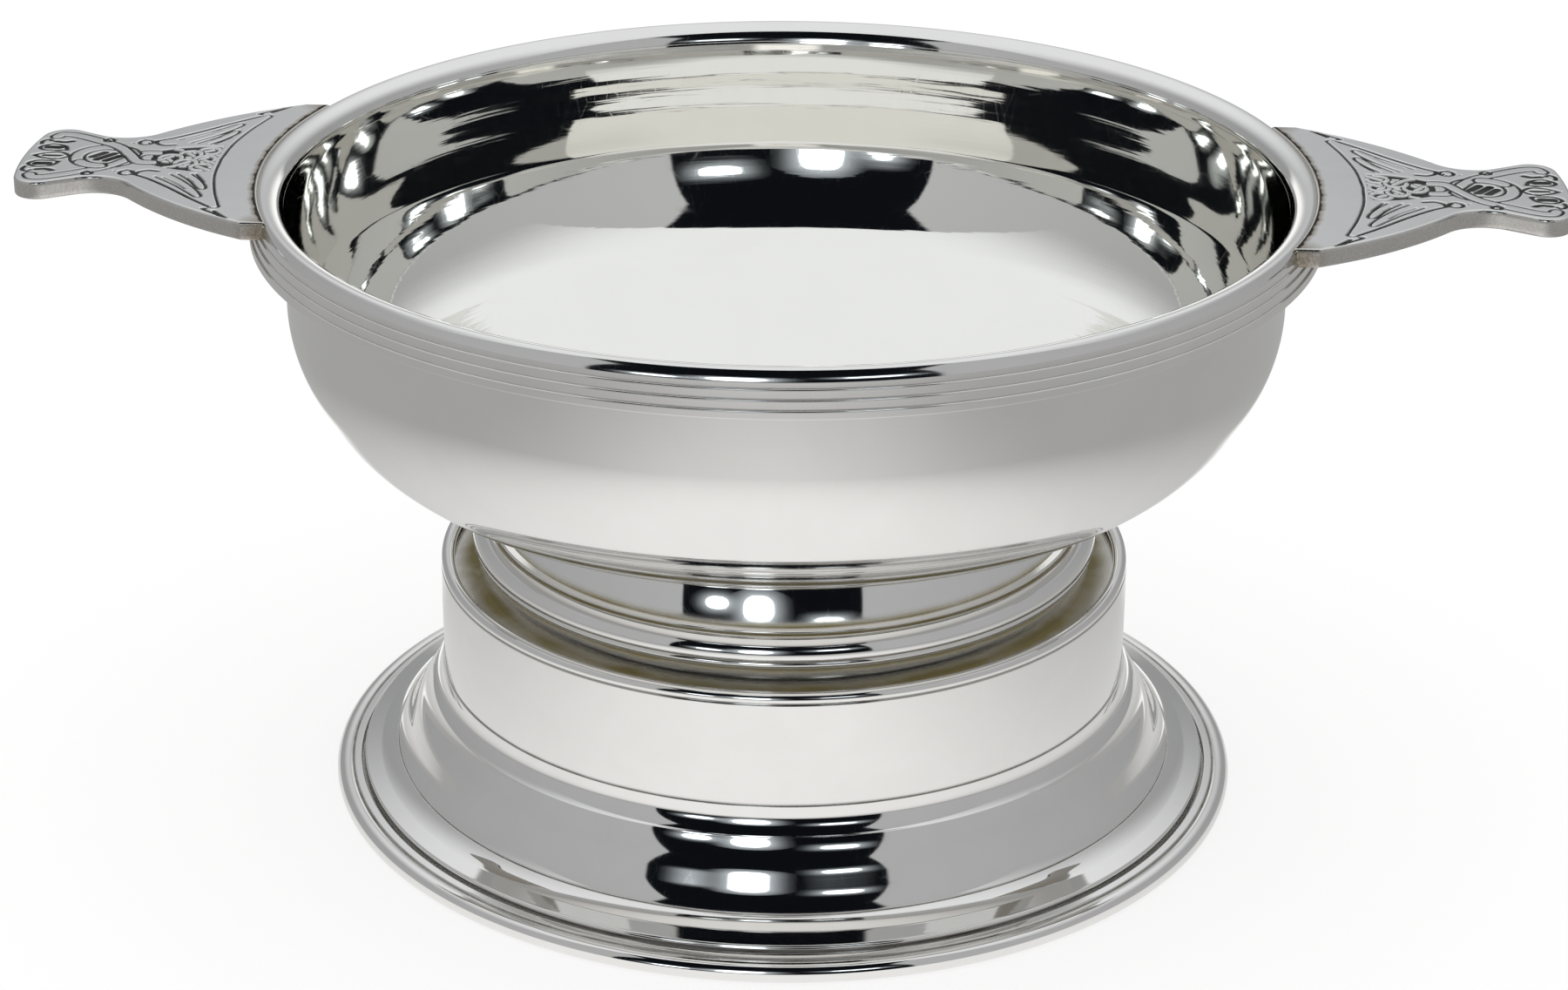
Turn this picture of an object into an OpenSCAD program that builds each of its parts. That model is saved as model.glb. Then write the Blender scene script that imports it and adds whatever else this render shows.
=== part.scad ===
// Two-handled drinking bowl standing in the recess of a round plinth. Millimetres, Z up, handles along X.

/* [Bowl] */
// Outside radius of the upright wall
bowl_r = 94.7; // [94.2:0.1:95.2]
// Thickness of the spun wall
bowl_wall = 1.4; // [1.2:0.1:1.8]
// Radius of the turn from wall to bottom
turn_r = 32.3; // [30:0.1:35]
// Radius of the shallow bottom
bottom_r = 178; // [170:1:190]
// Height of the wall's lower end above the foot's underside
wall_z = 57.2; // [56.5:0.1:58]

/* [Rim] */
// Radius of the lip's crest on the outside
lip_edge_r = 1; // [0.8:0.05:1.2]
// Radius of the roll from the lip into the bowl
lip_roll_r = 3.9; // [3.8:0.05:4]
// Radius of the lip's brow, below the crest
brow_r = 3.15; // [2.9:0.05:3.3]
// How far each step of the band stands out
step_out = 0.35; // [0.25:0.05:0.4]
// Height of one step
step_h = 1.8; // [1.7:0.05:1.85]

/* [Handles] */
// Thickness of the plate
handle_t = 3.6; // [2.5:0.1:4]
// Distance of the end from the bowl's axis
handle_end = 146; // [145.6:0.1:147]
// Half width at the waist
waist_half = 11.5; // [10.5:0.1:12]
// Half width at the root
root_half = 34.8; // [33.5:0.1:36]

/* [Foot] */
// Radius of the flat underside's edge
foot_r = 60.2; // [60:0.1:60.6]
// Thickness of the coved wall
foot_wall = 1.6; // [1.2:0.1:2]

/* [Plinth] */
// Outside radius of the drum
drum_r = 67.3; // [66.8:0.1:67.6]
// Thickness of the spun sheet
sheet = 1.6; // [1.2:0.1:1.8]
// Height of the seat above the table
seat_z = 45; // [42:0.5:50]
// Height of the seam between skirt and drum
collar_z = 25; // [24.6:0.1:25.4]
// Outside radius of the base bead
base_r = 89.3; // [88.8:0.1:90]

/* [Hidden] */
$fn = 128;
steps = 12;

// a run of points on a circle
function arc(c, r, a0, a1, n = steps) =
    [for (i = [0:n]) c + r * [cos(a0 + (a1 - a0) * i / n), sin(a0 + (a1 - a0) * i / n)]];

// a bulging arc of radius r from a to b, turning clockwise
function bow(a, b, r, n = steps) =
    let (half = norm(b - a) / 2,
         dir = atan2(b[1] - a[1], b[0] - a[0]),
         mid = (a + b) / 2,
         c = mid - sqrt(r * r - half * half) * [-sin(dir), cos(dir)],
         open = asin(half / r))
    arc(c, r, dir + 90 + open, dir + 90 - open, n);

// bowl: the two circles of its wall share a tangent, the lower one is centred on the axis
turn_c = [bowl_r - turn_r, wall_z];
bottom_c = [0, wall_z + sqrt(pow(bottom_r - turn_r, 2) - pow(bowl_r - turn_r, 2))];
tangent = asin((bowl_r - turn_r) / (bottom_r - turn_r));
function under(r) = bottom_c[1] - sqrt(bottom_r * bottom_r - r * r);

// lip: a wide roll inside, a tight crest and a fuller brow outside
lip_top = 79.1;
crest_r = bowl_r + 3.6;
roll_c = [crest_r, lip_top - lip_roll_r];
roll_turn = 8;
roll_low = roll_c + lip_roll_r * [-cos(roll_turn), sin(roll_turn)];
edge_c = [crest_r, lip_top - lip_edge_r];
edge_turn = 46;
brow_turn = 8;
brow_c = edge_c + (lip_edge_r - brow_r) * [cos(edge_turn), sin(edge_turn)];
wall_top = [bowl_r + 0.4, roll_low[1]];

// inside of the bowl: a wall that leans a little, a soft turn, a tighter one, then a shallow bottom
in_lean = 2;
in_soft = 25;
in_wide = 43;
in_tight = 61;
soft_r = 20;
wide_r = 28;
tight_r = 13;
in_wall = [bowl_r - bowl_wall + 0.3, wall_z - 4.2];
soft_c = in_wall + soft_r * [-cos(in_lean), sin(in_lean)];
wide_c = soft_c + (wide_r - soft_r) * [-cos(in_soft), sin(in_soft)];
tight_c = wide_c + (tight_r - wide_r) * [-cos(in_wide), sin(in_wide)];
in_end = tight_c + tight_r * [cos(in_tight), -sin(in_tight)];
dish_r = in_end[0] / cos(in_tight);
dish_c = [0, in_end[1] + dish_r * sin(in_tight)];

// steps of the band
band_z = 70.8;
step_r = brow_c[0] + brow_r * cos(brow_turn);
step_z = brow_c[1] + brow_r * sin(brow_turn) - 1;
step_edge = 0.25;
band_r = step_r + 3 * step_out;

// handle outline, right half of the plan
handle_z = lip_top - 0.1 - handle_t;
handle_cut = bowl_r + 4.9;
waist_c = [129.3, waist_half + 8.5];
waist_r = 8.5;
corner_c = [140.5, 11.2];
corner_r = 4.6;
waist_in = 218;
cross = acos((waist_r + corner_r) / norm(corner_c - waist_c));
waist_out = atan2(corner_c[1] - waist_c[1], corner_c[0] - waist_c[0]) - cross;
corner_out = 8;
corner_end = corner_c + corner_r * [cos(corner_out), sin(corner_out)];
shoulder_a = [97.6, root_half];
shoulder_b = waist_c + waist_r * [cos(waist_in), sin(waist_in)];
shoulder_r = 83;
half_plan = concat(
    [[88, 0], [88, root_half]],
    bow(shoulder_a, shoulder_b, shoulder_r),
    arc(waist_c, waist_r, waist_in, waist_out + 360),
    arc(corner_c, corner_r, waist_out + 180, corner_out),
    [[handle_end - 0.25, corner_end[1] / 2], [handle_end, 0]]);

// foot
cove_r = 28;
cove_c = [81.2, 23.2];
cove_low = 26;
cove_top = 8.6;
foot_top_r = cove_c[0] - cove_r * cos(cove_top);
moulding_h = cove_c[1] - cove_r * sin(cove_low);
foot_low_r = cove_c[0] - cove_r * cos(cove_low);

// plinth heights
rim_wire = 1.3;
rim_rise = 0.95;
drum_top = seat_z + 0.5;
rim_c = [drum_r - rim_wire, drum_top + rim_rise];
rim_open = asin(rim_rise / rim_wire);
seat_t = 2;
ring_top = 4.4;

// skirt: collar, a neck cove down to an arris, a throat, a round belly, a slope and a hollow flare
collar_r = drum_r + 0.3;
collar_low = collar_z - 1.4;
neck_r = 4.9;
neck_top = 2;
neck_low = 55;
throat_r = 10.5;
throat_top = 17;
throat_low = 40;
belly_r = 10.4;
steepest = 24.5;
slope = 2.5;
flare_r = 10.3;
flare_low = 72;
line_turn = 50;
line_deep = 0.2;
neck_c = [collar_r, collar_low] + neck_r * [cos(neck_top), sin(neck_top)];
arris = neck_c - neck_r * [cos(neck_low), sin(neck_low)];
throat_c = arris + throat_r * [cos(throat_top), sin(throat_top)];
belly_c = throat_c - (throat_r + belly_r) * [cos(throat_low), sin(throat_low)];
flare_c = belly_c + (belly_r + flare_r) * [cos(steepest), sin(steepest)]
    + slope * [sin(steepest), -cos(steepest)];
skirt_edge = 0.45;
skirt_c = [base_r - 5.58 - skirt_edge, ring_top + 0.4];

module turned(points) {
    rotate_extrude() polygon(points);
}

module on_seat() {
    translate([0, 0, seat_z]) children();
}

module plinth_base_ring() {
    bead = 2;
    color([0.80, 0.79, 0.76]) turned(concat(
        [[81.4, ring_top], [81.4, 0]],
        arc([base_r - bead, bead], bead, -90, 118, 16),
        [[86.1, 3.6], [85.8, 3.9], [84.5, 4], [84.1, 3.7], [83.6, 3.3], [82.6, 3.3], [82.6, ring_top]]));
}

module plinth_skirt() {
    color([0.80, 0.79, 0.76]) turned(concat(
        [[collar_r - sheet - 0.3, collar_z], [collar_r, collar_z]],
        arc(neck_c, neck_r, 180 + neck_top, 180 + neck_low),
        arc(throat_c, throat_r, 180 + throat_top, 180 + throat_low, 8),
        arc(belly_c, belly_r, throat_low, steepest, 8),
        arc(flare_c, flare_r, 180 + steepest, 180 + line_turn - 1, 8),
        [flare_c - (flare_r + line_deep) * [cos(line_turn), sin(line_turn)]],
        arc(flare_c, flare_r, 180 + line_turn + 1, 180 + flare_low, 6),
        arc(skirt_c, skirt_edge, 85, 0, 4),
        [[skirt_c[0] + skirt_edge, ring_top], [skirt_c[0] - 3.6, ring_top]],
        arc(flare_c, flare_r + sheet, 180 + 62, 180 + steepest, 8),
        arc(belly_c, belly_r - sheet, steepest, throat_low, 8),
        arc(throat_c, throat_r + sheet, 180 + throat_low, 180 + throat_top, 6),
        [[collar_r - sheet, collar_z - 2]]));
}

module plinth_drum() {
    color([0.80, 0.79, 0.76]) translate([0, 0, collar_z]) difference() {
        cylinder(h = drum_top - collar_z, r = drum_r);
        translate([0, 0, -1]) cylinder(h = drum_top - collar_z + 2, r = drum_r - sheet);
    }
}

module plinth_rim() {
    color([0.82, 0.81, 0.78]) turned(arc(rim_c, rim_wire, -rim_open, 180 + rim_open, 24));
}

module plinth_seat() {
    color([0.72, 0.71, 0.68]) translate([0, 0, seat_z - seat_t]) cylinder(h = seat_t, r = drum_r - sheet);
}

module bowl() {
    color([0.80, 0.79, 0.76]) on_seat() turned(concat(
        arc(bottom_c, bottom_r, -90, tangent - 90, 16),
        arc(turn_c, turn_r, tangent - 90, 0, 20),
        [[bowl_r, band_z], wall_top, roll_low],
        arc(soft_c, soft_r, -in_lean, -in_soft, 8),
        arc(wide_c, wide_r, -in_soft, -in_wide, 8),
        arc(tight_c, tight_r, -in_wide, -in_tight, 8),
        arc(dish_c, dish_r, -in_tight, -90, 16)));
}

module rim_band() {
    bands = [for (i = [0:2])
        each concat([[step_r + i * step_out, step_z - i * step_h]],
            arc([step_r + (i + 1) * step_out - step_edge, step_z - i * step_h - step_edge], step_edge, 90, 0, 4))];
    color([0.82, 0.81, 0.78]) on_seat() turned(concat(
        [[bowl_r, band_z], wall_top],
        arc(roll_c, lip_roll_r, 180 - roll_turn, 90, 14),
        arc(edge_c, lip_edge_r, 84, edge_turn, 4),
        arc(brow_c, brow_r, edge_turn, brow_turn, 8),
        bands,
        [[band_r, band_z]]));
}

module handle() {
    flip = [for (i = [len(half_plan) - 2:-1:1]) [half_plan[i][0], -half_plan[i][1]]];
    color([0.76, 0.75, 0.72]) on_seat() difference() {
        translate([0, 0, handle_z]) linear_extrude(handle_t) polygon(concat(half_plan, flip));
        translate([0, 0, handle_z - 1]) cylinder(h = handle_t + 2, r = handle_cut);
    }
}

module handle_left() {
    rotate([0, 0, 180]) handle();
}

module handle_right() {
    handle();
}

module foot() {
    inner_low = cove_c - (cove_r + foot_wall) * [cos(cove_low), sin(cove_low)];
    color([0.80, 0.79, 0.76]) on_seat() turned(concat(
        arc(cove_c, cove_r, 180 + cove_low, 180 + cove_top),
        [[foot_top_r, under(foot_top_r)], [foot_top_r - foot_wall, under(foot_top_r - foot_wall)]],
        arc(cove_c, cove_r + foot_wall, 180 + cove_top, 180 + cove_low - 1.5),
        [[inner_low[0], moulding_h]]));
}

module foot_moulding() {
    color([0.80, 0.79, 0.76]) on_seat() turned(concat(
        [[foot_r - 2, 0], [foot_r, 0], [foot_r, 4.2], [foot_r - 0.4, 4.4]],
        arc([59.7, 5.3], 1.1, -52, 58, 8),
        arc([57.8, 7], 3.3, -12, 78, 12),
        [[57.9, 10.1]],
        arc([57.2, 10.4], 0.42, -45, 75, 6),
        [[foot_low_r, moulding_h], [foot_low_r - foot_wall, moulding_h], [56, 6], [foot_r - 2, 3]]));
}

plinth_base_ring();
plinth_skirt();
plinth_drum();
plinth_rim();
plinth_seat();
bowl();
rim_band();
handle_left();
handle_right();
foot();
foot_moulding();
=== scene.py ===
import math
import bpy
import bmesh
import numpy as np
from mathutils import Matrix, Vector


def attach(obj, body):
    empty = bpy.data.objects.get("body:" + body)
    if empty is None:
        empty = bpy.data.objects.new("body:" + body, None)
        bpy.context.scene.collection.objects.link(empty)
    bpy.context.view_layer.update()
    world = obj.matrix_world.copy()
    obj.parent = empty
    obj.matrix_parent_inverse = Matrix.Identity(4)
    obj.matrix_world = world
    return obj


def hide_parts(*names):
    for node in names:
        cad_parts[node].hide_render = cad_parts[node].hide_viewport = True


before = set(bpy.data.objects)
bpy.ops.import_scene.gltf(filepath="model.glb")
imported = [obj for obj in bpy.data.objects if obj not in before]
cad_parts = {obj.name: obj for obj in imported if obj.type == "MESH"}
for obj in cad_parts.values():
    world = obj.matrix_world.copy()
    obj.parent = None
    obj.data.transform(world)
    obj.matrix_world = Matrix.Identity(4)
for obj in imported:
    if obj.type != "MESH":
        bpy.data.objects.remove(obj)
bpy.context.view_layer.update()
print("frame loaded:", ", ".join(sorted(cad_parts)))

mm = 0.001
scene = bpy.context.scene


# outlines are closed lists of (radius, height) in mm, counter-clockwise, metal on the left;
# an arc runs between two angles in degrees, in steps of its last number
def arc(centre, radius, start, end, step=3.0):
    count = max(2, math.ceil(abs(end - start) / step))
    turns = [math.radians(start + (end - start) * i / count) for i in range(count + 1)]
    return [(centre[0] + radius * math.cos(t), centre[1] + radius * math.sin(t)) for t in turns]


def away(centre, distance, angle):
    t = math.radians(angle)
    return (centre[0] + distance * math.cos(t), centre[1] + distance * math.sin(t))


def partWay(a, b, part, whole=1.0):
    return (a[0] + (b[0] - a[0]) * part / whole, a[1] + (b[1] - a[1]) * part / whole)


def lifted(points, by):
    return [(p[0], p[1] + by) for p in points]


def turnAngle(a, b, c):
    first = math.atan2(b[1] - a[1], b[0] - a[0])
    second = math.atan2(c[1] - b[1], c[0] - b[0])
    return (second - first + math.pi) % (2 * math.pi) - math.pi


# lathe settings: lengths in mm, turns in degrees
lathe = {"segments": 360, "repeat": 1e-4, "axis": 1e-6, "cornerTurn": 14.0, "cornerShare": 0.4,
         "roundStep": 12.0, "deepTurn": 70.0, "longRun": 0.5, "longRatio": 2.2, "supportGap": 0.2,
         "supportShare": 0.12}


def dropRepeats(points):
    kept = []
    for p in points:
        if not kept or math.dist(p, kept[-1]) > lathe["repeat"]:
            kept.append(p)
    if math.dist(kept[0], kept[-1]) < lathe["repeat"]:
        kept.pop()
    return kept


# every turned corner is eased by a small round, so edges catch the light as on polished metal
def easeCorners(points, ease):
    points = dropRepeats(points)
    eased, recesses = [], []
    for i, b in enumerate(points):
        a, c = points[i - 1], points[(i + 1) % len(points)]
        turn = turnAngle(a, b, c)
        if abs(turn) < math.radians(lathe["cornerTurn"]) or b[0] < lathe["axis"]:
            eased.append(b)
            continue
        before, after = math.dist(a, b), math.dist(b, c)
        reach = min(ease * math.tan(abs(turn) / 2), lathe["cornerShare"] * before,
                    lathe["cornerShare"] * after)
        start, end = partWay(b, a, reach, before), partWay(b, c, reach, after)
        count = max(3, math.ceil(abs(math.degrees(turn)) / lathe["roundStep"]))
        for k in range(count + 1):
            f = k / count
            fromStart, fromCorner, fromEnd = (1 - f) ** 2, 2 * f * (1 - f), f * f
            eased.append(tuple(fromStart * s + fromCorner * m + fromEnd * e
                               for s, m, e in zip(start, b, end)))
        if turn < 0:
            recesses.append((b, min(1.0, abs(turn) / math.radians(lathe["deepTurn"]))))
    return eased, recesses


# short supports beside long runs keep their shading true right up to a round
def addSupports(points):
    lengths = [math.dist(p, points[(i + 1) % len(points)]) for i, p in enumerate(points)]
    out = []
    for i, p in enumerate(points):
        out.append(p)
        length = lengths[i]
        shortest = min(lengths[i - 1], lengths[(i + 1) % len(points)])
        if length > lathe["longRun"] and length > lathe["longRatio"] * shortest:
            gap = min(lathe["supportGap"], lathe["supportShare"] * length)
            for f in (gap / length, 1 - gap / length):
                out.append(partWay(p, points[(i + 1) % len(points)], f))
    return out


def outlineNormals(points):
    normals = []
    for i, b in enumerate(points):
        a, c = points[i - 1], points[(i + 1) % len(points)]
        la, lc = max(math.dist(a, b), 1e-9), max(math.dist(b, c), 1e-9)
        na = ((b[1] - a[1]) / la, (a[0] - b[0]) / la)
        nc = ((c[1] - b[1]) / lc, (b[0] - c[0]) / lc)
        n = (na[0] * lc + nc[0] * la, na[1] * lc + nc[1] * la)
        size = max(math.hypot(*n), 1e-9)
        normals.append((n[0] / size, n[1] / size))
    return normals


# a mesh becomes a piece of the object: joined to its body, with the solid it stands for hidden
def placePiece(name, mesh, body, node):
    piece = bpy.data.objects.new(name, mesh)
    scene.collection.objects.link(piece)
    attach(piece, body)
    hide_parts(node)


# spins an outline into a closed mesh with true normals and two point attributes:
# along, the way round the outline in mm, and the recess mark, how deep in a recess a point lies,
# which darkens the metal there with tarnish and painted shade;
# a stain is (place, weight, reach) and adds to the same mark: real dirt on the foot and seat, painted
# shade where parts meet
def turnPiece(name, outline, body, node, materials, choose=None, ease=0.1, stains=(),
              recess=0.55):
    points, recesses = easeCorners(outline, ease)
    points = addSupports(points)
    normals = outlineNormals(points)
    spots = [(spot, weight, recess) for spot, weight in recesses] + list(stains)
    along, total = [], 0.0
    for i, p in enumerate(points):
        total += math.dist(points[i - 1], p) if i else 0.0
        along.append(total)
    segments = lathe["segments"]
    turns = [2 * math.pi * k / segments for k in range(segments)]
    verts, vertNormals, alongs, grimeAndShadeValues, rows = [], [], [], [], []
    for p, n, a in zip(points, normals, along):
        # how much tarnish and painted shade a point carries, from the recesses and stains near it
        grime = 0.0
        for spot, weight, reach in spots:
            grime = max(grime, weight * math.exp(-(math.dist(p, spot) / reach) ** 2))
        onAxis = p[0] < lathe["axis"]
        ring = []
        for t in turns[:1] if onAxis else turns:
            ring.append(len(verts))
            verts.append((p[0] * math.cos(t) * mm, p[0] * math.sin(t) * mm, p[1] * mm))
            vertNormals.append((0, 0, math.copysign(1, n[1])) if onAxis
                               else (n[0] * math.cos(t), n[0] * math.sin(t), n[1]))
            alongs.append(a)
            grimeAndShadeValues.append(grime)
        rows.append(ring)
    faces, faceMaterials = [], []
    for i, low in enumerate(rows):
        high = rows[(i + 1) % len(rows)]
        if len(low) == 1 and len(high) == 1:
            continue
        p, q = points[i], points[(i + 1) % len(rows)]
        index = choose(((p[0] + q[0]) / 2, (p[1] + q[1]) / 2)) if choose else 0
        for k in range(segments):
            m = (k + 1) % segments
            if len(low) == 1:
                face = (low[0], high[m], high[k])
            elif len(high) == 1:
                face = (low[k], low[m], high[0])
            else:
                face = (low[k], low[m], high[m], high[k])
            faces.append(face)
            faceMaterials.append(index)
    mesh = bpy.data.meshes.new(name)
    mesh.from_pydata(verts, [], faces)
    mesh.polygons.foreach_set("use_smooth", [True] * len(faces))
    mesh.polygons.foreach_set("material_index", faceMaterials)
    for label, values in (("along", alongs), ("grime", grimeAndShadeValues)):
        mesh.attributes.new(label, "FLOAT", "POINT").data.foreach_set("value", values)
    for material in materials:
        mesh.materials.append(material)
    mesh.update()
    mesh.normals_split_custom_set_from_vertices(vertNormals)
    placePiece(name, mesh, body, node)
    print(name, "turned:", len(points), "outline points,", len(faces), "faces")


# a node with its sockets filled: a pair (node, output) is linked, anything else is set
def put(tree, kind, sockets=None, **settings):
    node = tree.nodes.new(kind)
    for key, value in settings.items():
        setattr(node, key, value)
    for key, value in (sockets or {}).items():
        socket = node.inputs[key]
        if isinstance(value, tuple) and hasattr(value[0], "outputs"):
            tree.links.new(value[0].outputs[value[1]], socket)
        else:
            socket.default_value = value
    return node


# short forms of the nodes used most, each gives back such a pair
def mathNode(tree, operation, *values, clamp=False):
    sockets = dict(enumerate(values))
    return put(tree, "ShaderNodeMath", sockets, operation=operation, use_clamp=clamp), "Value"


def vectorNode(tree, operation, sockets):
    return put(tree, "ShaderNodeVectorMath", sockets, operation=operation), "Vector"


def remap(tree, value, fromLow, fromHigh, toLow=0.0, toHigh=1.0, **settings):
    sockets = {"Value": value, "From Min": fromLow, "From Max": fromHigh, "To Min": toLow,
               "To Max": toHigh}
    return put(tree, "ShaderNodeMapRange", sockets, **settings), "Result"


# 0 before start, 1 after end, or the other way about when start is the larger
def softStep(tree, value, start, end):
    low, high, first, last = (start, end, 0.0, 1.0) if start < end else (end, start, 1.0, 0.0)
    return remap(tree, value, low, high, first, last, interpolation_type="SMOOTHSTEP")


# 1 between low and high, with soft ends
def within(tree, value, low, high, soft):
    belowHigh = softStep(tree, value, high + soft, high - soft)
    aboveLow = softStep(tree, value, low - soft, low + soft)
    return mathNode(tree, "MULTIPLY", belowHigh, aboveLow)


def mixColour(tree, amount, first, second):
    ends = [end + (1,) if len(end) == 3 else end for end in (first, second)]
    return put(tree, "ShaderNodeMix", {0: amount, 6: ends[0], 7: ends[1]}, data_type="RGBA"), 2


def noise(tree, way, scale, detail, rough=0.5, distortion=0.0):
    sockets = {"Vector": way, "Scale": scale, "Detail": detail, "Roughness": rough,
               "Distortion": distortion}
    return put(tree, "ShaderNodeTexNoise", sockets), "Fac"


def reading(tree, label):
    return put(tree, "ShaderNodeAttribute", attribute_name=label), "Fac"


def bump(tree, height, depth, under=None):
    sockets = {"Height": height, "Strength": 1.0, "Distance": depth * mm}
    if under:
        sockets["Normal"] = under
    return put(tree, "ShaderNodeBump", sockets), "Normal"


def placeOf(tree):
    return put(tree, "ShaderNodeTexCoord"), "Object"


def placeInMm(tree):
    return vectorNode(tree, "MULTIPLY", {0: placeOf(tree), 1: (1 / mm, 1 / mm, 1 / mm)})


def placeXyz(tree):
    parts = put(tree, "ShaderNodeSeparateXYZ", {0: placeOf(tree)})
    return (parts, "X"), (parts, "Y"), (parts, "Z")


def reachOf(tree, first, second):
    square = mathNode(tree, "MULTIPLY", first, first)
    both = mathNode(tree, "MULTIPLY_ADD", second, second, square)
    return mathNode(tree, "SQRT", both)


def newMaterial(name):
    material = bpy.data.materials.new(name)
    material.use_nodes = True
    material.node_tree.nodes.clear()
    return material, material.node_tree


# bare metal, with a dull skin where dirt, patina and painted shade lie on it
def metalShader(tree, colour, cover, rough, normal):
    bare = mathNode(tree, "SUBTRACT", 1.0, cover, clamp=True)
    shader = put(tree, "ShaderNodeBsdfPrincipled", {
        "Base Color": colour, "Metallic": bare, "Specular IOR Level": 0.1, "Roughness": rough,
        "Normal": normal})
    put(tree, "ShaderNodeOutputMaterial", {"Surface": (shader, "BSDF")})


# ranges of the haze pattern that break up the dirt and painted shade, the metal's shade and gloss, and
# the lie of the hairlines
polish = {"dirtShadeBreak": (0.3, 0.7, 0.55, 1.0), "shadeBreak": (0.25, 0.75), "glossBreak": (0.3, 0.8),
          "hairTurn": (0.5, 0.3, 0.9), "hairStretch": (1.0, 0.06, 0.35), "hairWidth": 0.02,
          "dirtShadeRough": 0.42}


# polished pewter: mirror metal with faint turning lines, hairline scratches, hazy wipe marks
# and brown tarnish with painted shade in the recesses
def polishedPewter(name, look):
    material, tree = newMaterial(name)
    place = placeInMm(tree)
    flat = vectorNode(tree, "MULTIPLY", {0: place, 1: (1, 1, 0)})
    spoke = vectorNode(tree, "NORMALIZE", {0: flat})
    spread = vectorNode(tree, "SCALE", {0: spoke, "Scale": look["lineBreak"]})
    rise = put(tree, "ShaderNodeCombineXYZ", {"Z": reading(tree, "along")})
    lineWay = vectorNode(tree, "ADD", {0: spread, 1: (rise, "Vector")})
    lines = noise(tree, lineWay, look["lineScale"], 2.0, 0.55)
    wave = noise(tree, place, look["waveScale"], 1.0, 0.4)
    haze = noise(tree, place, look["hazeScale"], 4.0, 0.6, 0.8)
    # hairlines: thin ridges of a stretched cell pattern
    hairWay = put(tree, "ShaderNodeMapping", {"Vector": place, "Rotation": polish["hairTurn"],
                                              "Scale": polish["hairStretch"]})
    hair = put(tree, "ShaderNodeTexVoronoi", {"Vector": (hairWay, "Vector"),
                                              "Scale": look["hairScale"]},
               feature="DISTANCE_TO_EDGE")
    hairLine = remap(tree, (hair, "Distance"), 0.0, polish["hairWidth"], 1.0, 0.0)
    # brown tarnish and painted shade darken the recesses, broken up by the haze
    broken = remap(tree, haze, *polish["dirtShadeBreak"])
    grime = mathNode(tree, "MULTIPLY", reading(tree, "grime"), broken)
    dirtAndShade = mathNode(tree, "MULTIPLY", grime, look["tarnishAndShade"], clamp=True)
    clean = remap(tree, haze, *polish["shadeBreak"])
    metal = mixColour(tree, clean, look["colour"], look["shade"])
    colour = mixColour(tree, dirtAndShade, metal, look["dirtAndShade"])
    gloss = remap(tree, haze, *polish["glossBreak"], look["gloss"], look["hazeGloss"])
    scratched = mathNode(tree, "MULTIPLY_ADD", hairLine, look["hairGloss"], gloss)
    rough = mathNode(tree, "MULTIPLY_ADD", dirtAndShade, polish["dirtShadeRough"], scratched, clamp=True)
    waveBump = bump(tree, wave, look["waveDepth"])
    metalShader(tree, colour, dirtAndShade, rough, bump(tree, lines, look["lineDepth"], waveBump))
    return material


outsideLook = {
    "colour": (0.83, 0.822, 0.803), "shade": (0.80, 0.79, 0.77), "dirtAndShade": (0.17, 0.14, 0.08),
    "tarnishAndShade": 0.9, "gloss": 0.045, "hazeGloss": 0.10, "hazeScale": 0.05, "hairScale": 0.35,
    "hairGloss": 0.05, "lineBreak": 2.0, "lineScale": 1.6, "lineDepth": 0.0012,
    "waveScale": 0.05, "waveDepth": 0.02,
}
# the inside's metal is a lighter copy of the outside's: painted light for the light that bounces round
# inside the bowl
insideLook = dict(outsideLook, colour=(0.91, 0.90, 0.865), shade=(0.89, 0.88, 0.845), gloss=0.025,
                  hazeGloss=0.045, lineBreak=4.0, lineScale=0.7, lineDepth=0.012,
                  waveScale=0.06, waveDepth=0.03)
# on the rim band the recess colour paints thin lines of shade at its steps
bandLook = dict(outsideLook, tarnishAndShade=0.55, dirtAndShade=(0.10, 0.09, 0.07), lineDepth=0.0006)
footLook = dict(outsideLook, gloss=0.035, hazeGloss=0.06, dirtAndShade=(0.30, 0.25, 0.11), tarnishAndShade=1.15)
# the plinth's near-black recess colour is painted shade in the joints and grooves of drum, skirt, wire
# and ring
plinthLook = dict(outsideLook, gloss=0.035, hazeGloss=0.05, waveDepth=0.004, hairScale=0.5,
                  hazeScale=0.08, tarnishAndShade=1.0, dirtAndShade=(0.05, 0.04, 0.024))
seatLook = dict(outsideLook, dirtAndShade=(0.30, 0.25, 0.11), tarnishAndShade=1.3, gloss=0.06, hazeGloss=0.12)

bowlOutside = polishedPewter("bowlOutside", outsideLook)
bowlInside = polishedPewter("bowlInside", insideLook)
bandMetal = polishedPewter("bandMetal", bandLook)
footMetal = polishedPewter("footMetal", footLook)
plinthMetal = polishedPewter("plinthMetal", plinthLook)
seatMetal = polishedPewter("seatMetal", seatLook)
print("metals mixed")


bowl = {"wallRadius": 94.7, "turnRadius": 32.3, "bottomRadius": 178.0, "wallFoot": 102.2,
        "bandFoot": 115.8, "wallLean": 0.4, "wallSkin": 0.1, "turnSkin": 0.2}
lip = {"crest": 98.3, "top": 124.1, "rollRadius": 3.9, "rollTurn": 8.0, "edge": 1.0,
       "crestTurn": 84.0, "edgeTurn": 46.0, "brow": 3.15, "browTurn": 8.0, "steps": 3,
       "stepOut": 0.35, "stepHeight": 1.8, "stepDrop": 1.0, "stepEdge": 0.25}

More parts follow.
